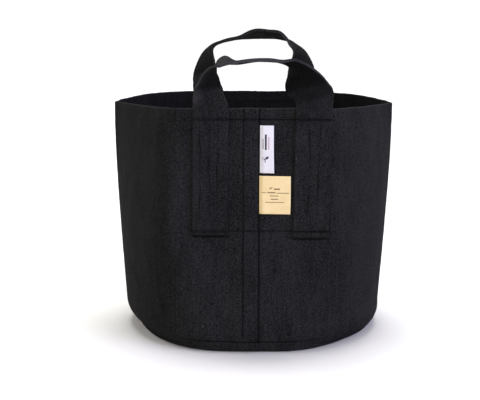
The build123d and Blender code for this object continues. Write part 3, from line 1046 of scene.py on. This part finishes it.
# ---- labels
def label_surface(shape, u, v):
    """A point on a label's mid-surface: u runs from its sewn edge to its free edge and v upwards,
    in millimetres. Both hang out from under the lap's raw edge."""
    x0, z0 = shape["x"], shape["bottom"]
    z = z0 + v + shape["tilt"] * u
    share = u / shape["width"]
    near = smooth(0.0, 5.0, u)
    out = lerp(2.2, shape["stand"], near)
    out = out + shape["curl"] * share ** 2 * (1 - v / shape["height"]) ** 2
    out = out + shape["belly"] * math.sin(math.pi * v / shape["height"]) * share
    out = out + 0.12 * math.sin(v / 6.0 + u / 9.0)
    x = x0 + u + shape["flare"] * share * (1 - v / shape["height"]) ** 3
    y = front_y(z) - out - float(relief(x, front_y(z), z)) * 0.6
    return np.array([x, y, z])


LABEL_KEYS = ("x", "width", "bottom", "height", "stand", "curl", "belly", "flare", "tilt")
WOVEN = dict(zip(LABEL_KEYS, (7.2, 17.6, 230.2, 60.2, 4.2, 2.2, 0.5, 0.6, -0.004)))
TAG = dict(zip(LABEL_KEYS, (6.6, 40.2, 178.6, 48.2, 4.4, 0.5, 0.35, -0.5, -0.012)))


def label_mesh(name, shape, thickness, material, cells):
    across, up = cells
    rings = []
    for a in range(across + 1):
        u = shape["width"] * a / across
        face, back = [], []
        for b in range(up + 1):
            v = shape["height"] * b / up
            p = label_surface(shape, u, v)
            e = 0.05
            du = label_surface(shape, u + e, v) - label_surface(shape, u - e, v)
            dv = label_surface(shape, u, v + e) - label_surface(shape, u, v - e)
            n = np.cross(du, dv)
            n /= np.linalg.norm(n)
            if n[1] > 0:
                n = -n
            face.append(p + n * thickness / 2)
            back.append(p - n * thickness / 2)
        rings.append(face + back[::-1])
    return loft(name, rings, material)


def label_marks(name, shape, polygons, material, lift):
    """Flat marks that follow a label's face: closed outlines given in the label's own u and v."""
    points, faces = [], []
    for outline in polygons:
        start = len(points)
        for rise in (lift, lift - 0.10):
            points += [label_surface(shape, u, v) + np.array([0, -rise, 0]) for u, v in outline]
        n = len(outline)
        faces.append(tuple(range(start, start + n)))
        faces.append(tuple(reversed(range(start + n, start + 2 * n))))
        for i in range(n):
            k = (i + 1) % n
            faces.append((start + k, start + i, start + n + i, start + n + k))
    return make_object(name, points, faces, material, smooth_shading=False)


def bar(u1, v1, u2, v2, steps=6):
    """A plain bar, cut into short lengths along its longer way so that it follows the cloth."""
    out = []
    for i in range(steps):
        a, b = i / steps, (i + 1) / steps
        if abs(u2 - u1) > abs(v2 - v1):
            left, right, low, high = lerp(u1, u2, a), lerp(u1, u2, b), v1, v2
        else:
            left, right, low, high = u1, u2, lerp(v1, v2, a), lerp(v1, v2, b)
        out.append([(left, low), (right, low), (right, high), (left, high)])
    return out


def leaf(u, v, length, width, angle):
    """A pointed oval from its stalk at (u, v)."""
    a = math.radians(angle)
    ways = ((0, 0), (0.25, 0.75), (0.5, 1.0), (0.78, 0.62), (1, 0), (0.78, -0.62), (0.5, -1.0), (0.25, -0.75))
    c, d = math.cos(a), math.sin(a)
    return [
        (u + length * s * c - width / 2 * t * d, v + length * s * d + width / 2 * t * c) for s, t in ways
    ]


def sprout(u, v, size):
    """A seedling with two leaves on a short stem, seen from the side: a plain garden symbol."""
    left, right, top = u - 0.045 * size, u + 0.045 * size, v + 0.46 * size
    return [
        leaf(u, v + 0.42 * size, 0.62 * size, 0.34 * size, 38),
        leaf(u, v + 0.34 * size, 0.52 * size, 0.30 * size, 146),
        [(left, v), (right, v), (right, top), (left, top)],
    ]


woven = label_mesh("woven_label_tape", WOVEN, 0.6, white_tape, (20, 44))
tag = label_mesh("size_tag_cloth", TAG, 0.6, tan_cloth, (30, 34))
dark_marks = bar(2.6, 30.5, 4.6, 43.5) + bar(6.2, 29.5, 8.6, 49.0) + sprout(6.6, 13.5, 9.5)
rose_marks = bar(10.8, 30.0, 11.7, 46.0)
tag_marks = sprout(14.6, 30.6, 4.6)
for corners in (
    (18.6, 31.0, 26.4, 32.6),
    (3.0, 26.8, 9.0, 27.5),
    (10.4, 26.6, 20.6, 27.9),
    (22.0, 26.4, 38.0, 27.2),
    (13.6, 22.6, 24.4, 23.6),
    (14.6, 18.4, 24.0, 19.5),
    (7.6, 14.6, 31.6, 15.4),
):
    tag_marks += bar(*corners)
woven_print = label_marks("woven_label_marks", WOVEN, dark_marks, dark_print, 0.40)
rose_line = label_marks("woven_label_fine_line", WOVEN, rose_marks, rose_print, 0.39)
tag_print = label_marks("size_tag_marks", TAG, tag_marks, brown_print, 0.38)
for piece, node, slot_name in ((woven, "woven_label", "white_label"), (tag, "size_tag", "tan_tag")):
    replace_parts(piece, node)
for piece in (woven, woven_print, rose_line):
    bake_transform(piece)
for piece in (tag, tag_print):
    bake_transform(piece)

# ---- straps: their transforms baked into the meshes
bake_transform(front_strap)
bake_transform(back_strap)


# ---- stage, light and camera
def stage():
    n = Nodes("white_floor")
    cloud = n.noise(1.5, None, 2.0)
    base_colour = n.colour(cloud, (0.937, 0.932, 0.908), (0.967, 0.962, 0.938))
    n.finish(base_colour, 0.9, None, Specular_IOR_Level=0.1)
    size = 6000.0
    corners = [(-size, -size, 0), (size, -size, 0), (size, size, 0), (-size, size, 0)]
    floor = make_object("floor", corners, [(0, 1, 2, 3)], n.material, False)
    floor.visible_diffuse = False  # it throws no light up under the straps


def sun(name, azimuth, elevation, spread, strength, colour):
    """A far, wide soft light. Azimuth runs from the front (-Y) towards the right."""
    data = bpy.data.lights.new(name, "SUN")
    data.energy = strength
    data.angle = math.radians(spread)
    data.color = colour
    obj = bpy.data.objects.new(name, data)
    bpy.context.scene.collection.objects.link(obj)
    a, e = math.radians(azimuth), math.radians(elevation)
    way = Vector((math.sin(a) * math.cos(e), -math.cos(a) * math.cos(e), math.sin(e)))
    obj.rotation_euler = way.to_track_quat("Z", "Y").to_euler()


stage()
sun("overhead_softbox", 180, 77, 34, 2.35, (1.0, 1.0, 0.99))
sun("left_softbox", -14, 9, 40, 1.55, (1.0, 0.91, 0.87))
sun("right_softbox", 58, 9, 50, 2.9, (0.63, 0.61, 1.0))
sun("back_left_softbox", -130, 12, 30, 0.9, (1.0, 0.97, 0.95))
sun("back_right_softbox", 130, 12, 30, 0.9, (0.95, 0.96, 1.0))

world = bpy.data.worlds.new("white_studio")
world.use_nodes = True
sky = world.node_tree
background = sky.nodes["Background"]
way = sky.nodes.new("ShaderNodeSeparateXYZ")
sky.links.new(sky.nodes.new("ShaderNodeTexCoord").outputs["Generated"], way.inputs[0])
shades = sky.nodes.new("ShaderNodeValToRGB")
for place, level in ((0.0, 0.10), (0.42, 0.12), (0.47, 1.03), (0.52, 1.03), (0.60, 0.34)):
    stop = shades.color_ramp.elements.new(place)
    stop.color = (level, level, level, 1)
shades.color_ramp.elements.remove(shades.color_ramp.elements[0])
shades.color_ramp.elements[len(shades.color_ramp.elements) - 1].color = (0.34, 0.34, 0.34, 1)
height = sky.nodes.new("ShaderNodeMapRange")
height.inputs["From Min"].default_value = -1.0
sky.links.new(way.outputs["Z"], height.inputs["Value"])
sky.links.new(height.outputs[0], shades.inputs["Fac"])
sky.links.new(shades.outputs["Color"], background.inputs["Color"])
bpy.context.scene.world = world

camera_data = bpy.data.cameras.new("camera")
camera_data.sensor_fit = "HORIZONTAL"
camera_data.sensor_width = 36.0
camera_data.lens = 95.78
camera_data.clip_end = 50.0
camera = bpy.data.objects.new("camera", camera_data)
bpy.context.scene.collection.objects.link(camera)
camera.matrix_world = (
    Matrix.Translation((-0.0180, -1.777, 0.44466))
    @ Matrix.Rotation(math.radians(90 - 8.761), 4, "X")
    @ Matrix.Rotation(math.radians(0.27), 4, "Z")
)
bpy.context.scene.camera = camera
bpy.context.scene.view_settings.view_transform = "Standard"
